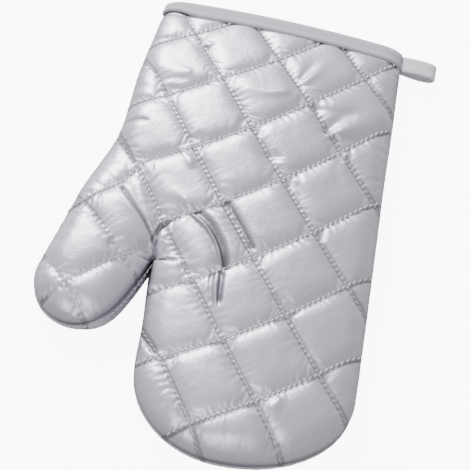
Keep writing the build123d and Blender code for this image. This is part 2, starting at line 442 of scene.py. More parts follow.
def in_thumb(plan):
    along, across = thumb_place(plan)
    return (along > THUMB_SPLIT) & (across < THUMB_IN) & (plan[:, 0] < CROTCH[0] + CROTCH_SLACK)


def shaping_rows(folds):
    """Rows of points beside the seam and along the given folds, so that edges and folds come out smooth."""
    rows = []
    for left, right, _, _, _, line in folds:
        run = eased(resampled(line, CREASE_STEP), CREASE_EASE)
        rows.append(run)
        rows += [drawn_aside(run, share * right) for share in CREASE_ROWS]
        rows += [drawn_aside(run, -share * left) for share in CREASE_ROWS]
    for depth in RIM_ROWS:
        rows += [drawn_aside(resampled(run, ROW_STEP), depth) for run in (HAND_RUN, THUMB_RUN, SIDE_RUN)]
    return np.vstack(rows)


def kept_apart(points, gaps, cell):
    """Numbers of the points that keep their gap from every earlier point; no gap is wider than a cell."""
    taken = {}
    kept = []
    around = [(i, j) for i in (-1, 0, 1) for j in (-1, 0, 1)]
    for number, ((x, y), gap) in enumerate(zip(points.tolist(), gaps.tolist())):
        column, row = int(x // cell), int(y // cell)
        near = (spot for i, j in around for spot in taken.get((column + i, row + j), ()))
        if any((x - p) ** 2 + (y - q) ** 2 < gap * gap for p, q in near):
            continue
        taken.setdefault((column, row), []).append((x, y))
        kept.append(number)
    return kept


class Panel:
    """One cut panel of cloth: flat points, triangles and what the mapping needs."""

    def __init__(self, coarseness, rows=None):
        step = QUILT_PITCH / GRID * coarseness
        hand, thumb, side = (resampled(run, step) for run in (HAND_RUN, THUMB_RUN, SIDE_RUN))
        cuff = resampled((side[-1], hand[0]), step)
        fold = resampled((thumb[-1], thumb[0]), step)
        loop = np.vstack((hand[:-1], thumb[:-1], side[:-1], cuff[:-1]))
        corner = len(hand) - 1
        split = corner + len(thumb) - 1
        rim = len(loop)
        reach = GRID * LATTICE_REACH // coarseness
        count = np.arange(-reach, reach + 1) * coarseness / GRID
        u, v = np.meshgrid(count, count, indexing="ij")
        place = np.column_stack((u.ravel(), v.ravel()))
        grid = QUILT_ORIGIN + QUILT_PITCH * (place[:, :1] * LINE_U + place[:, 1:] * LINE_V)
        grid = grid + drawn_cloth(grid)
        kept = np.all((grid > loop.min(axis=0)) & (grid < loop.max(axis=0)), axis=1)
        grid, place = grid[kept], place[kept]
        kept = inside(grid, loop)
        grid, place = grid[kept], place[kept]
        on_line = np.any(np.abs(place - np.round(place)) < 1e-6, axis=1)
        edge = np.vstack((loop, fold[1:-1]))
        extra = np.empty((0, 2)) if rows is None else rows[inside(rows, loop)]
        points = np.vstack((edge, grid[on_line], extra, grid[~on_line]))
        free = lattice_place(np.vstack((edge, extra)))
        places = np.vstack((free[: len(edge)], place[on_line], free[len(edge) :], place[~on_line]))
        counts = (len(edge), on_line.sum(), len(extra), (~on_line).sum())
        gaps = np.repeat((0.0, LINE_GAP * step, ROW_GAP, CELL_GAP * step), counts)
        kept = kept_apart(points, gaps, CELL_GAP * step)
        points, places = points[kept], places[kept]
        edges = [(i, (i + 1) % rim) for i in range(rim)]
        line = [split, *range(rim, rim + len(fold) - 2), corner]
        edges += list(zip(line[:-1], line[1:]))
        made = delaunay_2d_cdt([Vector(p) for p in points], edges, [], 1, 1e-5)
        self.plan = np.array([tuple(p) for p in made[0]])
        self.faces = np.array([f for f in made[2] if len(f) == 3])
        first, second, third = (self.plan[self.faces[:, k]] for k in range(3))
        turned = np.cross(second - first, third - first) < 0
        self.faces[turned] = self.faces[turned][:, ::-1]
        self.lattice = places[[sources[0] for sources in made[3]]]
        self.depth, self.way = near_seam(self.plan)
        self.on_cuff = np.abs(self.plan[:, 1] - CUFF_Y) < 1e-3
        self.on_seam = (self.depth < ON_SEAM) & ~self.on_cuff
        self.depth[self.on_seam] = 0.0
        off_line = np.abs(self.lattice - np.round(self.lattice)) * QUILT_PITCH
        self.line_u = off_line[:, 0] < ON_LINE
        self.line_v = off_line[:, 1] < ON_LINE
        self.thumb_face = in_thumb(self.plan[self.faces].mean(axis=1))


class Spots:
    """Single places on the pattern, with what the mapping needs."""

    def __init__(self, plan):
        self.plan = np.asarray(plan, float)
        self.depth, self.way = near_seam(self.plan)


def puffed(panel):
    """Sew the panel down along its lines and its rim, and let the wadding push it up."""
    flat = bpy.data.meshes.new("cloth_on_the_table")
    points = np.column_stack((panel.plan * MM * CLOTH_SCALE, np.zeros(len(panel.plan))))
    flat.from_pydata(points.tolist(), [], panel.faces.tolist())
    cloth = add_piece("cloth_on_the_table", flat)
    sewn = cloth.vertex_groups.new(name="sewn")
    held = panel.line_u | panel.line_v | panel.on_seam | panel.on_cuff
    sewn.add(np.where(held)[0].tolist(), 1.0, "REPLACE")
    made = cloth.modifiers.new("cloth", "CLOTH").settings
    made.quality = 5
    made.mass = 0.02
    made.tension_stiffness = 40
    made.compression_stiffness = 40
    made.shear_stiffness = 5
    made.bending_stiffness = 0.01
    made.air_damping = 1
    made.vertex_group_mass = "sewn"
    made.shrink_min = -0.015
    made.use_pressure = True
    made.uniform_pressure_force = 5.0
    made.effector_weights.gravity = 0
    scene = bpy.context.scene
    for number in range(1, CLOTH_FRAMES + 1):
        scene.frame_set(number)
    seen = cloth.evaluated_get(bpy.context.evaluated_depsgraph_get())
    moved = np.empty(len(panel.plan) * 3)
    seen.data.vertices.foreach_get("co", moved)
    bpy.data.objects.remove(cloth)
    scene.frame_set(1)
    moved = moved.reshape(-1, 3) / (MM * CLOTH_SCALE)
    moved[:, :2] -= panel.plan
    return moved


def dome(low, high, rise, across):
    """Crown of one lobe over its width."""
    half = np.maximum((high - low) / 2, 1e-6)
    share = (across - (low + high) / 2) / half
    inner = np.clip(1 - share * share, 0.0, 1.0)
    spread = np.exp(-np.clip(np.abs(share) - 1, 0.0, 9.0) * half / CROWN_FADE)
    return rise * (SHOULDER * spread + (1 - SHOULDER) * inner)


def lobe(stations, place, across, tip_start, tip_run, tip_across):
    """Crown of a lobe from its stations, rounded off at its tip; place runs towards the tip."""
    table = np.array(stations)
    low, high, rise = (np.interp(place, table[:, 0], table[:, k]) for k in (1, 2, 3))
    share = np.clip((place - tip_start) / tip_run, 0.0, 0.995)
    full = np.sqrt(1 - share * share)
    low = tip_across + (low - tip_across) * full
    high = tip_across + (high - tip_across) * full
    return dome(low, high, rise * (TIP_RISE + (1 - TIP_RISE) * full), across)


def crown(plan):
    """Rise of the padded hand above the seam."""
    down = [(-y, low, high, rise) for y, low, high, rise in reversed(HAND_STATIONS)]
    hand = lobe(down, -plan[:, 1], plan[:, 0], -FINGER_Y, FINGERTIP_RUN, FINGERTIP_X)
    along, across = thumb_place(plan)
    thumb = lobe(THUMB_STATIONS, along, across, THUMB_PAD, THUMB_TIP_RUN, THUMB_TIP_ACROSS)
    return LOBE_BLEND * np.log(np.exp(hand / LOBE_BLEND) + np.exp(thumb / LOBE_BLEND) - 1)


def edge_roll(depth, run):
    """Quarter round from the seam up to the flat of the panel."""
    share = np.clip(depth / run, 0.0, 1.0)
    return np.sqrt(1 - (1 - share) ** 2)


def vertex_normals(points, faces):
    first, second, third = (points[faces[:, k]] for k in range(3))
    facing = np.cross(second - first, third - first)
    total = np.zeros_like(points)
    for k in range(3):
        np.add.at(total, faces[:, k], facing)
    length = np.linalg.norm(total, axis=1)
    return total / np.maximum(length, 1e-12)[:, None]


def near_cuff(panel):
    """1 under the binding, 0 where the quilting is free of it."""
    return ramp(panel.plan[:, 1], CUFF_Y - TAPE - CUFF_EASE, CUFF_Y - TAPE)


def inner_thumb(plan):
    """1 along the thumb's inner edge, where the back panel shows below the seam; 0 elsewhere."""
    shares = []
    for place, (start, full, falls, end) in zip(thumb_place(plan), (INNER_ALONG, INNER_ACROSS)):
        shares.append(ramp(place, start, full) * ramp(place, end, falls))
    return shares[0] * shares[1]


def rolled_out(panel, at_thumb):
    """Plan of a panel whose edge bulges out over the seam, more on the inner thumb, not under the binding."""
    share = panel.depth / BULGE_DEPTH
    most = BULGE + at_thumb * inner_thumb(panel.plan)
    bulge = share * np.exp(1 - share) * (1 - near_cuff(panel)) * most
    return panel.plan + panel.way * bulge[:, None]


def seam_level(plan):
    return SEAM_Z + SEAM_RAISE * inner_thumb(plan)


def front_base(panel):
    """Stitched-down level of the front panel."""
    roll = edge_roll(panel.depth, FRONT_ROLL)
    level = seam_level(panel.plan)
    height = level + (SEAM_Z + crown(panel.plan) - SINK - level) * roll
    return np.column_stack((rolled_out(panel, FRONT_THUMB_BULGE), height))


def back_base(panel):
    """Stitched-down level of the back panel, which lies on the table."""
    roll = edge_roll(panel.depth, BACK_ROLL)
    level = seam_level(panel.plan)
    height = level - (level - BACK_Z) * roll
    return np.column_stack((rolled_out(panel, BACK_THUMB_BULGE), height))


def beside_line(plan, line):
    """Points close to a line: which ones, how far to its right, and how far along it from its two ends."""
    run = eased(resampled(line, CREASE_STEP), CREASE_EASE)
    along = directions(run)
    low, high = run.min(axis=0) - CREASE_NEAR, run.max(axis=0) + CREASE_NEAR
    close = np.where(np.all((plan > low) & (plan < high), axis=1))[0]
    away = plan[close][:, None, :] - run[None, :, :]
    nearest = np.linalg.norm(away, axis=2).argmin(axis=1)
    away = away[np.arange(len(close)), nearest]
    aside = away[:, 0] * along[nearest, 1] - away[:, 1] * along[nearest, 0]
    return close, aside, nearest * CREASE_STEP, (len(run) - 1 - nearest) * CREASE_STEP


def creased(plan):
    """Rise of folds and wrinkles, and the shade painted in the folds, all dying out at their ends."""
    total = np.zeros(len(plan))
    shaded = np.zeros(len(plan))
    for left, right, edge, rise, dark, line in FOLDS:
        close, aside, gone, left_over = beside_line(plan, line)
        fade = smooth(np.minimum(gone, left_over) / CREASE_END)
        width = np.where(aside > 0, right, left) * (CREASE_NARROW + (1 - CREASE_NARROW) * fade)
        strength = fade * np.exp(-((np.abs(aside) / width) ** edge))
        total[close] += rise * strength
        shaded[close] = np.maximum(shaded[close], dark * strength)
    for width, rise, line in WRINKLES:
        close, aside, gone, left_over = beside_line(plan, line)
        share = gone / (gone + left_over)
        fade = smooth(gone / CREASE_END) * (1 - share)
        reach = aside / (width * (1 + WRINKLE_SPREAD * share))
        total[close] += rise * fade * np.exp(-reach * reach)
    return CREASE_DEEP * np.tanh(total / CREASE_DEEP), shaded


def binding_edge(across):
    """Where the binding's outer leg ends on the hand: it is folded narrower at the left corner."""
    return CUFF_Y - TAPE * (1 - graded(across, *CORNER))


def shaded_front(panel, painted_darkness):
    """Shade painted on the front; elsewhere a negative value makes its painted groove shade fainter."""
    off_line = np.abs(panel.lattice - np.round(panel.lattice)).min(axis=1) * QUILT_PITCH
    below = binding_edge(panel.plan[:, 0]) - panel.plan[:, 1]
    # Painted shade where the quilting lines run in under the binding
    nick_shade = graded(off_line, *NICK_SHADE_ACROSS) * graded(below, *NICK_SHADE_BELOW)
    thumb = inner_thumb(panel.plan) * graded(panel.depth, *INNER_THUMB_SHADE)
    crotch = graded(np.linalg.norm(panel.plan - CROTCH, axis=1), *CROTCH_SHADE)
    rims = [graded(panel.depth, *rim) for rim in RIM_SHADES]
    dark = np.max((painted_darkness, *rims, nick_shade, thumb, crotch), axis=0)
    on_thumb = graded(thumb_place(panel.plan)[0], *THUMB_FAINT) * in_thumb(panel.plan)
    drawn_out = graded(np.linalg.norm(panel.plan - np.array(DRAWN_OUT_AT), axis=1), *DRAWN_OUT)
    return np.where(dark > UNSHADED, dark, -np.maximum(on_thumb, drawn_out))


def carried(panel, values, plan):
    """Values that a panel has at its points, taken over to other places of the plan."""
    tree = BVHTree.FromPolygons([(x, y, 0.0) for x, y in panel.plan], panel.faces.tolist())
    found = [tree.find_nearest((x, y, 0.0)) for x, y in plan]
    spots = np.array([tuple(hit[0]) for hit in found])
    spots[:, 2] = 1.0
    corners = panel.faces[[hit[2] for hit in found]]
    rims = np.concatenate((panel.plan[corners], np.ones((len(corners), 3, 1))), axis=2)
    shares = np.linalg.solve(rims.transpose(0, 2, 1), spots[:, :, None])[:, :, 0]
    return np.einsum("nk,nkc->nc", shares, values[corners])


def drawn_in(panel, base, side, amount):
    """The base moved into the mitt by an amount, level with the seam at the rim."""
    normals = vertex_normals(base, panel.faces) * side
    normals[panel.on_seam] = np.column_stack((panel.way, np.zeros(len(panel.way))))[panel.on_seam]
    flat = normals[panel.on_cuff]
    flat[:, 1] = 0
    normals[panel.on_cuff] = flat / np.linalg.norm(flat, axis=1)[:, None]
    return base - normals * np.asarray(amount).reshape(-1, 1)


def add_piece(name, made):
    piece = bpy.data.objects.new(name, made)
    bpy.context.scene.collection.objects.link(piece)
    return piece


def cloth_piece(name, outer, inner, faces, lattice, welded, normals, painted_shade=None):
    """Close a panel with its inner side and its rims; the last argument is shade painted into its folds."""
    used = np.unique(faces)
    number = np.full(len(outer), -1)
    number[used] = np.arange(len(used))
    partner = number.copy()
    free = used[~welded[used]]
    partner[free] = len(used) + np.arange(len(free))
    points = np.vstack((outer[used], inner[free]))
    sides = np.vstack((faces[:, [0, 1]], faces[:, [1, 2]], faces[:, [2, 0]]))
    there = sides[:, 0] * len(outer) + sides[:, 1]
    back_again = sides[:, 1] * len(outer) + sides[:, 0]
    rim = sides[~np.isin(there, back_again)]
    walls = []
    for a, b in rim:
        wall = list(dict.fromkeys((number[b], number[a], partner[a], partner[b])))
        if len(wall) > 2:
            walls.append(wall)
    made = bpy.data.meshes.new(name)
    polygons = number[faces].tolist() + partner[faces][:, ::-1].tolist() + walls
    made.from_pydata((points * MM).tolist(), [], polygons)
    made.polygons.foreach_set("use_smooth", np.ones(len(polygons), bool))
    place = np.vstack((lattice[used], lattice[free]))
    corner = np.empty(len(made.loops), int)
    made.loops.foreach_get("vertex_index", corner)
    made.uv_layers.new(name="quilting").data.foreach_set("uv", place[corner].ravel())
    # Shade painted on the cloth in its folds and hollows, kept at its points for the satin to darken by
    if painted_shade is not None:
        values = np.concatenate((painted_shade[used], painted_shade[free]))
        made.attributes.new("painted_shade", "FLOAT", "POINT").data.foreach_set("value", values)
    made.normals_split_custom_set_from_vertices(np.vstack((normals[used], -normals[free])).tolist())
    return add_piece(name, made)


def folds_with(piece, body):
    """Bake a piece's placement into its mesh, the same for the fingers and for the thumb."""
    if body == "thumb":
        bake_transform(piece)
    else:
        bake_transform(piece)


def linear(hex_colour):
    """A colour given as sRGB hex, as the shaders take it."""
    values = [int(hex_colour[k : k + 2], 16) / 255 for k in (0, 2, 4)]
    return [c / 12.92 if c <= 0.04045 else ((c + 0.055) / 1.055) ** 2.4 for c in values] + [1.0]


def node(tree, kind, inputs=None, **settings):
    """Add a node, set it, and link or fill its inputs."""
    made = tree.nodes.new(kind)
    for key, value in settings.items():
        setattr(made, key, value)
    for key, value in (inputs or {}).items():
        if isinstance(value, bpy.types.NodeSocket):
            tree.links.new(value, made.inputs[key])
        else:
            made.inputs[key].default_value = value
    return made


def material(name, **values):
    """A new material, its node tree and its main shader."""
    made = bpy.data.materials.new(name)
    made.use_nodes = True
    shader = made.node_tree.nodes["Principled BSDF"]
    for key, value in values.items():
        shader.inputs[key.replace("_", " ")].default_value = value
    return made, made.node_tree, shader


# Grooves of the two directions of lines, with tucks and painted shade: the coordinate across them and
# along them, how dark their painted shade is (0 is full), how far it lies to one side of the thread, half the
# gap between its two halves, and the half width of each
GROOVES = (("X", "Y", 0.0, 0.9, 0.0, 0.8), ("Y", "X", 0.3, 0.2, 0.7, 0.4))
GROOVE_SOFT = 0.9
TUCK_FROM = 0.3
TUCK_REACH = 2.6

# Patterns of the satin, in waves per millimetre. The real weave is too fine to show, so it is drawn coarser,
# as coarse as it needs to show
CRUMPLES_PER_MM = 0.08
WEAVE_PER_MM = 1.1


def silver_cloth():
    """Satin, woven, coated with aluminium and quilted: a soft metallic sheen that breaks up on small tucks at
    the stitches, and shade painted into the grooves along the thread and into the folds."""
    made, tree, shader = material("aluminium_coated_satin", Metallic=0.6, Roughness=0.42)
    place = node(tree, "ShaderNodeUVMap", uv_map="quilting").outputs["UV"]
    real = node(tree, "ShaderNodeVectorMath", {0: place, "Scale": QUILT_PITCH}, operation="SCALE").outputs[0]
    parts = node(tree, "ShaderNodeSeparateXYZ", {0: real}).outputs
    half = QUILT_PITCH / 2
    tucks = []
    grooves = []
    for line, along, faded, aside, apart, full in GROOVES:
        gap = node(tree, "ShaderNodeMath", {0: parts[line], 1: half}, operation="PINGPONG").outputs[0]
        reach = {"Value": gap, "From Min": TUCK_FROM, "From Max": TUCK_REACH, "To Min": 1.0, "To Max": 0.0}
        near = node(tree, "ShaderNodeMapRange", reach, interpolation_type="SMOOTHSTEP").outputs[0]
        wave = node(tree, "ShaderNodeMath", {0: parts[along], 1: STITCH / 2}, operation="PINGPONG").outputs[0]
        tucks.append(node(tree, "ShaderNodeMath", {0: near, 1: wave}, operation="MULTIPLY").outputs[0])
        moved = node(tree, "ShaderNodeMath", {0: parts[line], 1: aside}, operation="SUBTRACT").outputs[0]
        beside = node(tree, "ShaderNodeMath", {0: moved, 1: half}, operation="PINGPONG").outputs[0]
        off = node(tree, "ShaderNodeMath", {0: beside, 1: apart}, operation="SUBTRACT").outputs[0]
        off = node(tree, "ShaderNodeMath", {0: off}, operation="ABSOLUTE").outputs[0]
        clear = full + GROOVE_SOFT
        reach = {"Value": off, "From Min": full, "From Max": clear, "To Min": faded, "To Max": 1.0}
        grooves.append(node(tree, "ShaderNodeMapRange", reach, interpolation_type="SMOOTHSTEP").outputs[0])
    tuck = node(tree, "ShaderNodeMath", {0: tucks[0], 1: tucks[1]}, operation="ADD").outputs[0]
    groove = node(tree, "ShaderNodeMath", {0: grooves[0], 1: grooves[1]}, operation="MULTIPLY").outputs[0]
    # Painted shade, read from the cloth; a negative value makes the painted groove shade fainter
    painted_shade = node(tree, "ShaderNodeAttribute", attribute_name="painted_shade").outputs["Fac"]
    turned = {0: painted_shade, 1: -1.0}
    faint = node(tree, "ShaderNodeMath", turned, operation="MULTIPLY", use_clamp=True).outputs[0]
    groove = node(tree, "ShaderNodeMath", {0: groove, 1: faint}, operation="ADD", use_clamp=True).outputs[0]
    waves = {"Vector": real, "Scale": CRUMPLES_PER_MM, "Detail": 3.0}
    crumple = node(tree, "ShaderNodeTexNoise", waves).outputs["Fac"]
    grain = {"Vector": real, "Scale": WEAVE_PER_MM, "Detail": 2.0}
    weave = node(tree, "ShaderNodeTexNoise", grain).outputs["Fac"]
    normal = None
    for height, strength, depth in ((tuck, 0.22, 0.8), (crumple, 0.3, 2.0), (weave, 0.4, 0.25)):
        values = {"Height": height, "Strength": strength, "Distance": depth * MM}
        if normal:
            values["Normal"] = normal
        normal = node(tree, "ShaderNodeBump", values).outputs[0]
    tree.links.new(normal, shader.inputs["Normal"])
    # Shade painted in the quilting grooves: the cloth's own colour C9C5D2 darkens towards 85848B
    cloth = {0: groove, 6: linear("85848B"), 7: linear("C9C5D2")}
    colour = node(tree, "ShaderNodeMix", cloth, data_type="RGBA").outputs[2]
    # Shade painted in folds and hollows darkens it further, towards 4E4D55
    painted_darkness = {0: painted_shade, 6: colour, 7: linear("4E4D55")}
    colour = node(tree, "ShaderNodeMix", painted_darkness, data_type="RGBA").outputs[2]
    tree.links.new(colour, shader.inputs["Base Color"])
    return made


def plain_cloth(name, colour, roughness, thread):
    """A plain cloth or thread; thread is the spacing of its fine texture in millimetres."""
    made, tree, shader = material(name, Base_Color=linear(colour), Roughness=roughness)
    place = node(tree, "ShaderNodeTexCoord").outputs["Object"]
    grain = {"Vector": place, "Scale": 1 / (thread * MM), "Detail": 1.0}
    weave = node(tree, "ShaderNodeTexNoise", grain).outputs["Fac"]
    bump = node(tree, "ShaderNodeBump", {"Height": weave, "Strength": 0.4, "Distance": 0.2 * MM}).outputs[0]
    tree.links.new(bump, shader.inputs["Normal"])
    return made


SILVER = silver_cloth()
# Woven cotton twill: dull and without sheen, so that it frames the shiny quilting; the loop is paler
TWILL = plain_cloth("cotton_twill_tape", "AAA8B2", 0.9, 0.7)
LOOP_TWILL = plain_cloth("cotton_twill_loop_tape", "CAC8D1", 0.9, 0.7)
# Brushed cotton: a warm, soft grey without sheen
COTTON = plain_cloth("brushed_cotton_lining", "B9B4AC", 0.9, 0.6)
# Spun polyester: a pale thread with a little gloss, which stands out from its groove
SEWING = plain_cloth("polyester_sewing_thread", "C2C1C8", 0.45, 0.3)


def lobes(thumb):
    """Hand and thumb: name, the body they belong to, which of the given places they have, and CAD zones."""
    return (
        ("hand", "fingers", ~thumb, ("palm", "fingers")),
        ("thumb", "thumb", thumb, ("thumb",)),
    )


# Cloth as the wadding puffs it up, every cell full to its edges
table = Panel(1)
puff = puffed(table)
puff[:, 2] = CELL_RISE * (1 - np.clip(1 - puff[:, 2] / puff[:, 2].max(), 0.0, 1.0) ** CELL_FULLNESS)

# Front panel, sewn down and creased
front = Panel(1, shaping_rows(FOLDS))
lift = carried(table, puff, front.plan)
base = front_base(front)
top = base.copy()
top[:, :2] += lift[:, :2]
# The folds' rise, and the shade painted along them
crease, painted_darkness = creased(front.plan)
crease *= smooth(front.depth / CREASE_RIM) * (1 - near_cuff(front))
top[:, 2] += lift[:, 2] * (1 - near_cuff(front)) + crease
top_normals = vertex_normals(top, front.faces)
under = drawn_in(front, base, 1, PANEL_THICK * smooth(front.depth / PANEL_RIM))
under[:, 2] += np.minimum(crease, 0.0) * CREASE_INSIDE
front_shade = shaded_front(front, painted_darkness)

# Back panel, pressed flat on the table
back = Panel(BACK_COARSE, shaping_rows(()))
lift_back = carried(table, puff, back.plan)
base_back = back_base(back)
low = base_back.copy()
low[:, :2] += lift_back[:, :2]
low[:, 2] -= lift_back[:, 2] * BACK_PUFF * (1 - near_cuff(back)) * edge_roll(back.depth, BACK_ROLL)
low[:, 2] = TABLE_GAP + TABLE_SOFT * np.log1p(np.exp((low[:, 2] - TABLE_GAP) / TABLE_SOFT))
back_normals = vertex_normals(low, back.faces[:, ::-1])
above = drawn_in(back, base_back, -1, PANEL_THICK * smooth(back.depth / PANEL_RIM))
back_shade = graded(np.linalg.norm(back.plan - CROTCH, axis=1), *BACK_CROTCH_SHADE)

LAYERS = ("shell", "batting")
# Each panel carries the shade painted on it
for side, panel, skin, inner, normals, painted_shade, faces in (
    ("front", front, top, under, top_normals, front_shade, front.faces),
    ("back", back, low, above, back_normals, back_shade, back.faces[:, ::-1]),
):
    for lobe_name, body, mask, zones in lobes(panel.thumb_face):
        label = f"{side}_quilted_{lobe_name}"
        piece = cloth_piece(label, skin, inner, faces[mask], panel.lattice, panel.on_seam, normals, painted_shade)
        piece.data.materials.append(SILVER)
        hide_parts(*[f"{side}_{layer}_{zone}" for layer in LAYERS for zone in zones])
        folds_with(piece, body)

# Cotton lining inside
lining = Panel(LINING_COARSE)
for side, base_of, sign in (("front", front_base, 1), ("back", back_base, -1)):
    level = base_of(lining)
    outer = drawn_in(lining, level, sign, np.full(len(level), LINING_UNDER))
    inner = drawn_in(lining, level, sign, np.full(len(level), LINING_UNDER + LINING_THICK))
    faces = lining.faces if sign > 0 else lining.faces[:, ::-1]
    normals = vertex_normals(outer, faces)
    nowhere = np.zeros(len(level), bool)
    for lobe_name, body, mask, zones in lobes(lining.thumb_face):
        label = f"{side}_lining_of_{lobe_name}"
        piece = cloth_piece(label, outer, inner, faces[mask], lining.lattice, nowhere, normals)
        piece.data.materials.append(COTTON)
        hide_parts(*[f"{side}_lining_{zone}" for zone in zones])
        folds_with(piece, body)

# Thread: one stitch, a short rod with round ends, is modelled, and every other one is its copy
bpy.ops.object.select_all(action="DESELECT")
bpy.ops.mesh.primitive_uv_sphere_add(segments=ROD_SIDES, ring_count=ROD_SIDES, radius=0.5)
pattern = bpy.context.object
for end in (1, -1):
    bpy.ops.object.mode_set(mode="EDIT")
    bpy.ops.mesh.select_all(action="DESELECT")
    bpy.ops.object.mode_set(mode="OBJECT")
    for corner in pattern.data.vertices:
        corner.select = corner.co.z * end > ROD_MIDDLE
    bpy.ops.object.mode_set(mode="EDIT")
    bpy.ops.transform.translate(value=(0, 0, ROD_STRETCH * end))
bpy.ops.object.mode_set(mode="OBJECT")
STITCH_POINTS = np.array([tuple(c.co) for c in pattern.data.vertices])
STITCH_FACES = [tuple(f.vertices) for f in pattern.data.polygons]
STITCH_LENGTH = float(np.ptp(STITCH_POINTS[:, 2]))
bpy.data.objects.remove(pattern)


def thread_piece(name, starts, ends, normals, thick):
    """Sew copies of the stitch from each start to its end, standing on the cloth and lying aslant."""
    starts, ends, normals = (np.asarray(part, float) for part in (starts, ends, normals))
    along = ends - starts
    length = np.linalg.norm(along, axis=1)
    along /= length[:, None]
    side = np.cross(normals, along)
    side /= np.linalg.norm(side, axis=1)[:, None]
    up = np.cross(along, side)
    along = along * math.cos(SLANT) + side * math.sin(SLANT)
    side = np.cross(up, along)
    thick = np.broadcast_to(thick, len(starts))
    middle = (starts + ends) / 2
    share = STITCH_POINTS[:, 2] / STITCH_LENGTH
    crest = STITCH_CREST * np.cos(np.clip(share, -0.5, 0.5) * math.pi)
    points = []
    faces = []
    for k in range(len(starts)):
        first = len(points) * len(STITCH_POINTS)
        made = middle[k] + (share * length[k])[:, None] * along[k]
        made = made + (STITCH_POINTS[:, 0] * thick[k])[:, None] * side[k]
        made = made + (STITCH_POINTS[:, 1] * thick[k] * STITCH_FLAT + crest)[:, None] * up[k]
        points.append(made)
        faces += [tuple(first + c for c in face) for face in STITCH_FACES]
    made = bpy.data.meshes.new(name)
    made.from_pydata((np.vstack(points) * MM).tolist(), [], faces)
    made.polygons.foreach_set("use_smooth", np.ones(len(faces), bool))
    made.materials.append(SEWING)
    return add_piece(name, made)


def quilting_stitches(panel, skin, normals):
    """Starts, ends, normals, plan places and thickness of the stitches along the quilting lines."""
    starts, ends, facing, plan, thick = [], [], [], [], []
    for axis, held in ((0, panel.line_u), (1, panel.line_v)):
        for number in range(-LATTICE_REACH, LATTICE_REACH + 1):
            row = np.where(held & (np.abs(panel.lattice[:, axis] - number) < 1e-3))[0]
            if len(row) < SHORTEST_ROW:
                continue
            row = row[np.argsort(panel.lattice[row, 1 - axis])]
            at = panel.lattice[row, 1 - axis]
            first = math.ceil(at[0] * STITCHES_PER_PITCH)
            last = math.floor(at[-1] * STITCHES_PER_PITCH)
            for mark in range(first, last):
                low = (mark + STITCH_END) / STITCHES_PER_PITCH
                high = (mark + 1 - STITCH_END) / STITCHES_PER_PITCH
                after = np.searchsorted(at, (low, high))
                if np.any(at[after] - at[after - 1] > LONGEST_GAP / GRID):
                    continue
                run = panel.plan[row[after[1]]] - panel.plan[row[after[0]]]
                if (LINE_V, LINE_U)[axis] @ run <= STRAIGHT * np.linalg.norm(run):
                    continue
                starts.append([np.interp(low, at, skin[row, k]) for k in range(3)])
                ends.append([np.interp(high, at, skin[row, k]) for k in range(3)])
                facing.append(normals[row[after[0]]])
                plan.append(panel.plan[row[after[0]]])
                thick.append(THREAD[axis])
    sewn = [np.array(part) for part in (starts, ends, facing, plan, thick)]
    hidden = (inner_thumb(sewn[3]) > HIDDEN_THUMB) & (near_seam(sewn[3])[0] < HIDDEN_SEAM)
    shown = (sewn[3][:, 1] < CUFF_Y - TAPE - STITCH_CLEAR) & ~hidden
    return [part[shown] for part in sewn]


for side, panel, skin, normals in (("front", front, top, top_normals), ("back", back, low, back_normals)):
    starts, ends, facing, plan, thick = quilting_stitches(panel, skin, normals)
    thumb = in_thumb(plan)
    thick = np.where(thumb, thick * THUMB_THREAD, thick)
    lifted = facing * STITCH_LIFT
    for lobe_name, body, mask, _ in lobes(thumb):
        label = f"{side}_quilting_thread_of_{lobe_name}"
        sewn = (part[mask] for part in (starts + lifted, ends + lifted, facing, thick))
        piece = thread_piece(label, *sewn)
        folds_with(piece, body)

# Side seam: its thread shows only where the thumb's inner edge rolls up
knots = resampled(THUMB_RUN, STITCH)
knots = knots[inner_thumb(knots) > SEAM_THREAD_FROM]
places = Spots(knots)
edge = np.column_stack((knots + places.way * SEAM_THREAD_OUT, seam_level(knots)))
out = np.column_stack((places.way, np.zeros(len(knots))))
starts = edge[:-1] * (1 - STITCH_END) + edge[1:] * STITCH_END
ends = edge[:-1] * STITCH_END + edge[1:] * (1 - STITCH_END)
piece = thread_piece("side_seam_thread_of_thumb", starts, ends, (out[:-1] + out[1:]) / 2, SEAM_THREAD)
folds_with(piece, "thumb")


def tape_piece(name, rows, closed, thick, cloth):
    """A woven tape through rows of points, with its own thickness; returns it and its flat size."""
    rows = np.asarray(rows)
    count, width = rows.shape[:2]
    faces = []
    for i in range(count if closed else count - 1):
        here, after = i * width, (i + 1) % count * width
        faces += [(here + j, after + j, after + j + 1, here + j + 1) for j in range(width - 1)]
    made = bpy.data.meshes.new(name)
    made.from_pydata((rows.reshape(-1, 3) * MM).tolist(), [], faces)
    made.polygons.foreach_set("use_smooth", np.ones(len(faces), bool))
    steps = np.linalg.norm(np.diff(rows, axis=0), axis=2).mean(axis=1)
    run = np.concatenate(([0.0], np.cumsum(steps)))
    steps = np.linalg.norm(np.diff(rows, axis=1), axis=2).mean(axis=0)
    across = np.concatenate(([0.0], np.cumsum(steps)))
    whole = run[-1] + (np.linalg.norm(rows[-1] - rows[0], axis=1).mean() if closed else 0.0)
    layer = made.uv_layers.new(name="tape")
    for face in made.polygons:
        for loop, corner in zip(face.loop_indices, face.vertices):
            i, j = divmod(corner, width)
            last = closed and i == 0 and any(c // width == count - 1 for c in face.vertices)
            layer.data[loop].uv = (whole if last else run[i], across[j])
    made.materials.append(cloth)
    piece = add_piece(name, made)
    wall = piece.modifiers.new("thickness", "SOLIDIFY")
    wall.thickness = thick * MM
    wall.offset = -1
    bpy.context.view_layer.objects.active = piece
    bpy.ops.object.modifier_apply(modifier="thickness")
    return piece, (whole * MM, across[-1] * MM)


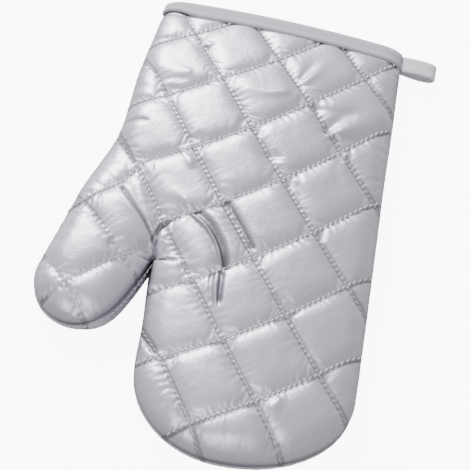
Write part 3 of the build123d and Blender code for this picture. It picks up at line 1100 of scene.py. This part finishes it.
# Binding round the mouth: outer leg, fold over the edge, inner leg
BINDING_PROFILE = (
    (-TAPE, 0.1), (-TAPE + 0.2, 0.7), (-TAPE + 0.9, 1.0), (-7.6, 0.8), (-6.4, 0.5), (-5.0, 0.7), (-3.0, 1.0),
    (-1.2, 0.9), (0.0, 0.4), (0.6, -0.5), (0.8, -1.6), (0.7, -2.8), (0.0, -3.7), (-1.2, -4.2), (-4.0, -4.4),
    (-7.0, -4.4), (-9.0, -4.3),
)


def mouth_ring(y, push):
    """The mouth's outline at a height on the cuff, pushed out of the panels."""
    left = np.interp(y, SIDE_RUN[:, 1], SIDE_RUN[:, 0])
    beside_cuff = HAND_RUN[:CUFF_POINTS]
    right = np.interp(-y, -beside_cuff[:, 1], beside_cuff[:, 0])
    turn = np.linspace(0, math.pi, TAPE_ROUND)
    across = (left + right) / 2 - (right - left) / 2 * np.cos(turn)
    places = Spots(np.column_stack((across, np.full(len(across), y))))
    places.depth[[0, -1]] = 0.0
    upper = SEAM_Z + (crown(places.plan) - SINK) * edge_roll(places.depth, FRONT_ROLL)
    lower = SEAM_Z - (SEAM_Z - BACK_Z) * edge_roll(places.depth, BACK_ROLL)
    ring = np.vstack((np.column_stack((across, upper)), np.column_stack((across, lower))[-2:0:-1]))
    along = np.roll(ring, -1, axis=0) - np.roll(ring, 1, axis=0)
    along /= np.linalg.norm(along, axis=1)[:, None]
    ring = ring + np.column_stack((-along[:, 1], along[:, 0])) * push
    return np.column_stack((ring[:, 0], np.full(len(ring), y), ring[:, 1]))


rings = []
for run, push in BINDING_PROFILE:
    ring = mouth_ring(CUFF_Y + min(run, 0.0), push)
    ring[:, 1] = CUFF_Y + run * (CUFF_Y - binding_edge(ring[:, 0])) / TAPE
    rings.append(ring)
rows = np.stack(rings, axis=1)
rows[:, :, 2] = np.maximum(rows[:, :, 2], TAPE_LOWEST)
binding, cut = tape_piece("cuff_binding_tape", rows[:, ::-1], True, TAPE_THICK, TWILL)
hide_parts("cuff_binding")
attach(binding, "hand")

# Hanging loop: one length of tape doubled back on itself
route = resampled(eased(resampled(LOOP_ROUTE, LOOP_FINE), LOOP_EASE), LOOP_STEP)
along = directions(route)
outward = np.column_stack((-along[:, 1], along[:, 0]))
rows = []
for spot, way in zip(route, outward):
    place = spot + way * LOOP_SWELL[:, None]
    rows.append(np.column_stack((place[:, 0], LOOP_Y + LOOP_SHARES * LOOP_WIDTH, place[:, 1])))
loop, cut = tape_piece("hang_loop_tape", np.array(rows)[:, ::-1], False, LOOP_THICK, LOOP_TWILL)
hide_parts("hang_loop")
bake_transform(loop)

# Floor: white matt paper, a pale ground without sheen. It glows, and its glow lights only the paper itself
bpy.ops.object.select_all(action="DESELECT")
bpy.ops.mesh.primitive_plane_add(size=8.0)
floor = bpy.context.object
floor.name = "pale_floor"
paper, _, shader = material("white_paper", Base_Color=linear("C8C8C8"), Roughness=1.0)
shader.inputs["Emission Color"].default_value = linear("FFFFFF")
shader.inputs["Emission Strength"].default_value = 9.0
floor.data.materials.append(paper)
glow = bpy.data.collections.new("lit_by_the_paper")
glow.objects.link(floor)
floor.light_linking.receiver_collection = glow

# Light, in metres and watts
world = bpy.data.worlds.new("white_room")
bpy.context.scene.world = world
world.use_nodes = True
background = world.node_tree.nodes["Background"]
background.inputs["Color"].default_value = linear("FFFFFF")
background.inputs["Strength"].default_value = 0.55


def soft_light(name, place, aim, size, watts):
    lamp = bpy.data.lights.new(name, "AREA")
    lamp.size = size
    lamp.energy = watts
    made = add_piece(name, lamp)
    made.location = place
    made.rotation_euler = (Vector(aim) - Vector(place)).to_track_quat("-Z", "Y").to_euler()


soft_light("light_from_the_cuff_end", place=(-0.6, 1.0, 0.8), aim=(0, 0, 0), size=0.6, watts=40)
soft_light("light_from_above", place=(-0.1, -0.75, 0.85), aim=(0, -0.1, 0), size=0.5, watts=5.5)

# Camera, 60 degrees above the table on the fingertip side and turned a little
CAMERA_PLACE = Vector((12.7, -337.2, 573.0)) * MM
CAMERA_BACK = Vector((0.0205, -0.5026, 0.8643)).normalized()
CAMERA_RIGHT = Vector((0.9757, 0.1985, 0.0923))
CAMERA_LENS = 94.1
CAMERA_SENSOR = 36.0

lens = bpy.data.cameras.new("camera")
lens.lens = CAMERA_LENS
lens.sensor_width = CAMERA_SENSOR
camera = add_piece("camera", lens)
right = (CAMERA_RIGHT - CAMERA_BACK * CAMERA_RIGHT.dot(CAMERA_BACK)).normalized()
up = CAMERA_BACK.cross(right)
turn = Matrix((right, up, CAMERA_BACK)).transposed()
camera.matrix_world = Matrix.Translation(CAMERA_PLACE) @ turn.to_4x4()
bpy.context.scene.camera = camera
